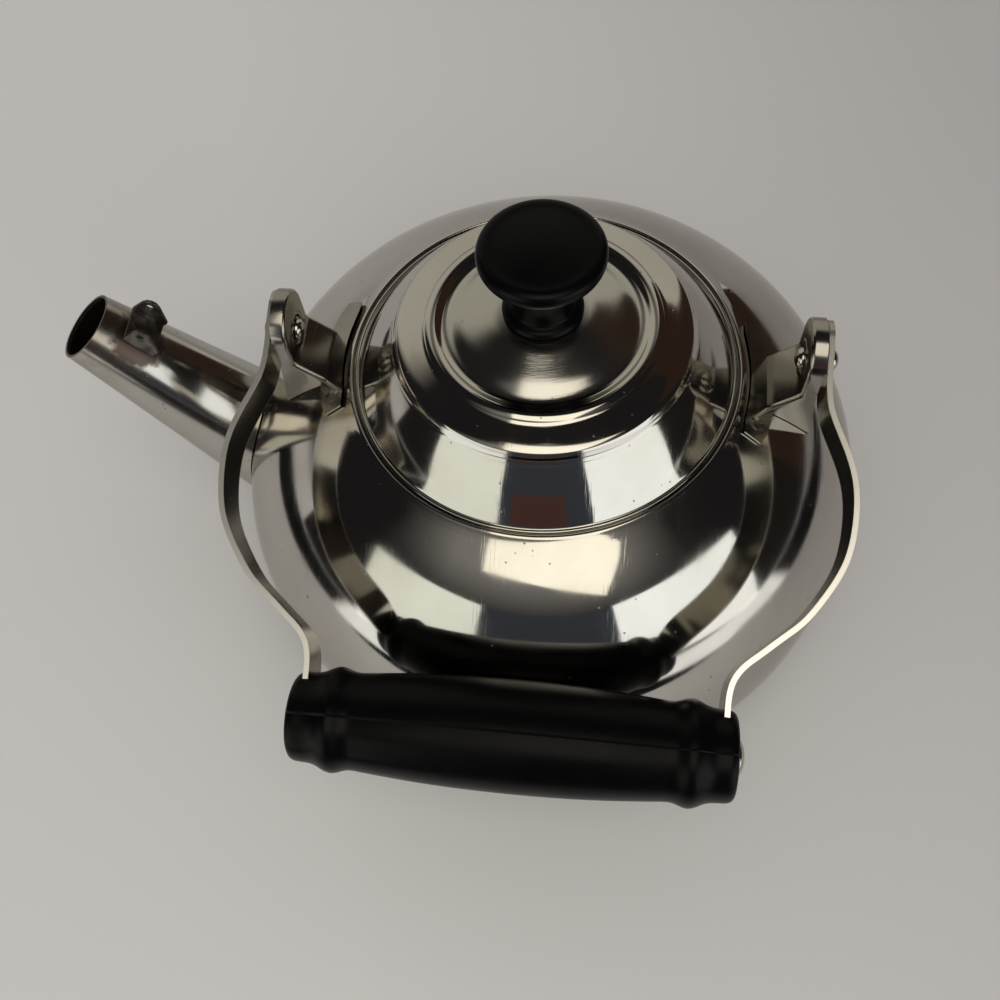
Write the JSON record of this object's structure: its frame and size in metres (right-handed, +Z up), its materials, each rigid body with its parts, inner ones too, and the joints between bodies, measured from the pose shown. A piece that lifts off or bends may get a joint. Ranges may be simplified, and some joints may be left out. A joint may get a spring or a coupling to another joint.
{
  "type": "stovetop tea kettle",
  "caption": "Squat sheet-steel stovetop kettle with a stepped lift-off lid, a straight tapered spout and a folding bail handle with a black grip.",
  "frame": {"origin": "centre of the flat base, on the surface that the kettle stands on", "axes": "+Z up out of the lid, -X out of the spout, and -Y towards the side the bail handle is folded down to"},
  "size_m": [0.2446, 0.2175, 0.141],
  "materials": {
    "polished_steel": "mirror-polished stainless sheet, lightly scratched and specked",
    "worn_steel": "dull, worn stainless sheet and bar",
    "black_phenolic": "semi-matt moulded black phenolic",
    "plated_screw": "plated steel hardware"
  },
  "bodies": {
    "kettle": {"body_shell": "polished_steel", "base_pan": "worn_steel", "spout_tube": "polished_steel", "whistle_hinge_lug": "worn_steel", "ear_bracket_left": "polished_steel", "ear_bracket_right": "polished_steel", "pivot_rivet_left": "polished_steel", "pivot_rivet_right": "polished_steel", "pivot_spacer_left": "worn_steel", "pivot_spacer_right": "worn_steel"},
    "bail": {"bail_strap_left": "polished_steel", "bail_strap_right": "polished_steel", "grip": "black_phenolic", "grip_tie_rod": "worn_steel", "grip_cap_left": "polished_steel", "grip_cap_right": "polished_steel"},
    "lid": {"lid_shell": "polished_steel", "lid_skirt_ring": "worn_steel", "lid_knob": "black_phenolic", "knob_screw": "plated_screw", "knob_washer": "plated_screw"}
  },
  "joints": [
    {"name": "bail_hinge", "type": "hinge", "parent": "kettle", "child": "bail", "pos_m": [0, 0, 0.0998], "axis": [-1, 0, 0], "range_deg": [0, 213.7]},
    {"name": "lid_lift", "type": "slide", "parent": "kettle", "child": "lid", "axis": [0, 0, 1], "range_m": [0, 0.09]}
  ]
}
